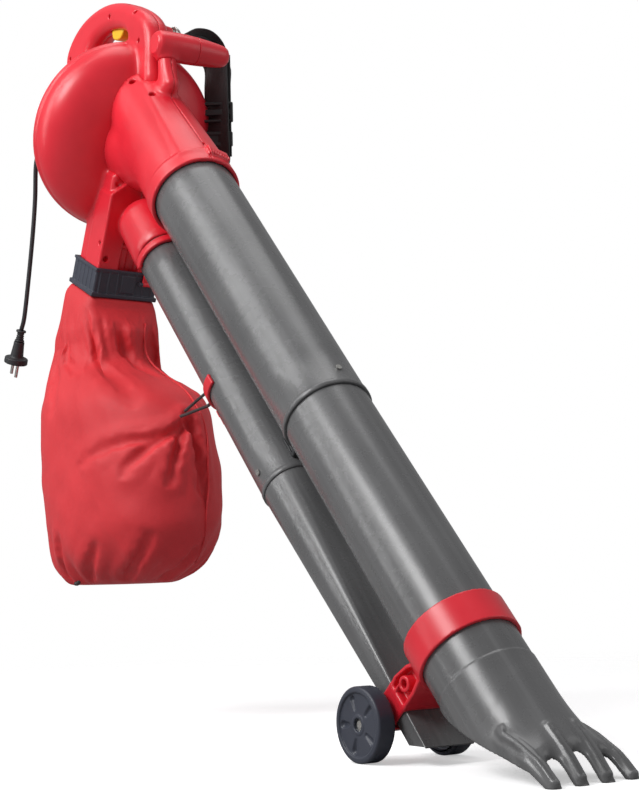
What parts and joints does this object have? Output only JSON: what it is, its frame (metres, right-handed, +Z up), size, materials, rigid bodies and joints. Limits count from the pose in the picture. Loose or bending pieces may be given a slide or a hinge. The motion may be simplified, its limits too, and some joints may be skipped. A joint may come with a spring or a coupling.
{
  "type": "leaf vacuum mulcher",
  "caption": "Electric garden leaf vacuum, blower and mulcher with suction and blow tubes, rake nozzle, wheels, loop handle, side grip and hanging collection bag.",
  "frame": {"origin": "on the floor, midway between the two wheels, under the axle", "axes": "+X forward, towards the rake; +Y the machine's left; +Z up"},
  "size_m": [1.1479, 0.2839, 1.0359],
  "materials": {
    "red_plastic": "satin",
    "grey_plastic": "satin",
    "blue_plastic": "satin",
    "steel": "brushed",
    "black_plastic": "matte",
    "cast_alloy": "cast",
    "copper": "satin",
    "carbon": "matte",
    "black_rubber": "matte",
    "yellow_plastic": "satin",
    "bag_fabric": "woven",
    "webbing": "woven"
  },
  "bodies": {
    "machine": {"housing_right": "red_plastic", "housing_left": "red_plastic", "neck_right": "red_plastic", "neck_left": "red_plastic", "rear_vent_cover": "red_plastic", "housing_screws": "steel", "neck_screws": "steel", "motor_stator": "steel", "carbon_brushes": "carbon", "brush_holders": "black_plastic", "front_bearing": "steel", "rear_bearing": "steel", "bearing_carrier": "black_plastic", "rear_bracket": "black_plastic", "trigger_pin": "steel", "trigger_spring": "steel", "power_switch": "black_plastic", "grip_bolt": "steel", "suction_tube": "grey_plastic", "suction_nozzle": "grey_plastic", "blow_tube": "grey_plastic", "blow_nozzle": "grey_plastic", "tube_clip": "black_plastic", "tube_screws": "steel", "wheel_bracket": "red_plastic", "axle": "steel", "wheel_clips": "steel", "bag_hook": "red_plastic", "power_cord": "black_rubber", "cord_guard": "black_rubber", "plug_body": "black_rubber", "plug_pins": "steel"},
    "rotor": {"rotor_core": "copper", "motor_shaft": "steel", "commutator": "copper", "cooling_fan": "black_plastic", "impeller": "cast_alloy", "shredder_blade": "steel", "impeller_nut": "steel"},
    "trigger": {"trigger": "yellow_plastic"},
    "changeover": {"changeover_flap": "red_plastic", "flap_shaft": "steel", "changeover_lever": "yellow_plastic"},
    "grip": {"front_grip": "red_plastic", "front_grip_cap": "red_plastic"},
    "wheel_right": {"wheel_right": "blue_plastic"},
    "wheel_left": {"wheel_left": "blue_plastic"},
    "bag": {"bag_collar": "blue_plastic", "collar_seal": "black_rubber", "collection_bag": "bag_fabric", "latch_pin": "steel"},
    "latch": {"bag_latch": "red_plastic"},
    "strap": {"strap_hook": "steel", "shoulder_strap": "webbing", "strap_adjuster": "black_plastic"}
  },
  "joints": [
    {"name": "fan_spin", "type": "hinge", "parent": "machine", "child": "rotor", "pos_m": [-0.63646, 0, 0.82565], "axis": [0.8988, 0, -0.4384], "continuous": true},
    {"name": "trigger_pull", "type": "hinge", "parent": "machine", "child": "trigger", "pos_m": [-0.603, 0, 0.994], "axis": [0, 1, 0], "range_deg": [0, 7], "stiffness_Nm_per_rad": 0.6},
    {"name": "changeover_turn", "type": "hinge", "parent": "machine", "child": "changeover", "pos_m": [-0.62054, 0, 0.66212], "axis": [0, -1, 0], "range_deg": [0, 54]},
    {"name": "front_grip_swivel", "type": "hinge", "parent": "machine", "child": "grip", "pos_m": [-0.5, 0, 0.918], "axis": [0, 0, -1], "range_deg": [0, 180]},
    {"name": "right_wheel_spin", "type": "hinge", "parent": "machine", "child": "wheel_right", "pos_m": [0, -0.052, 0.038], "axis": [0, 1, 0], "continuous": true},
    {"name": "left_wheel_spin", "type": "hinge", "parent": "machine", "child": "wheel_left", "pos_m": [0, 0.052, 0.038], "axis": [0, 1, 0], "continuous": true},
    {"name": "bag_slide_off", "type": "slide", "parent": "machine", "child": "bag", "axis": [-0.4384, 0, -0.8988], "range_m": [0, 0.04]},
    {"name": "bag_latch_turn", "type": "hinge", "parent": "bag", "child": "latch", "pos_m": [-0.62862, 0.034, 0.61043], "axis": [0, 1, 0], "range_deg": [0, 40]},
    {"name": "strap_swing", "type": "hinge", "parent": "machine", "child": "strap", "pos_m": [-0.545, 0.03, 0.958], "axis": [0, -1, 0], "range_deg": [0, 10]}
  ]
}
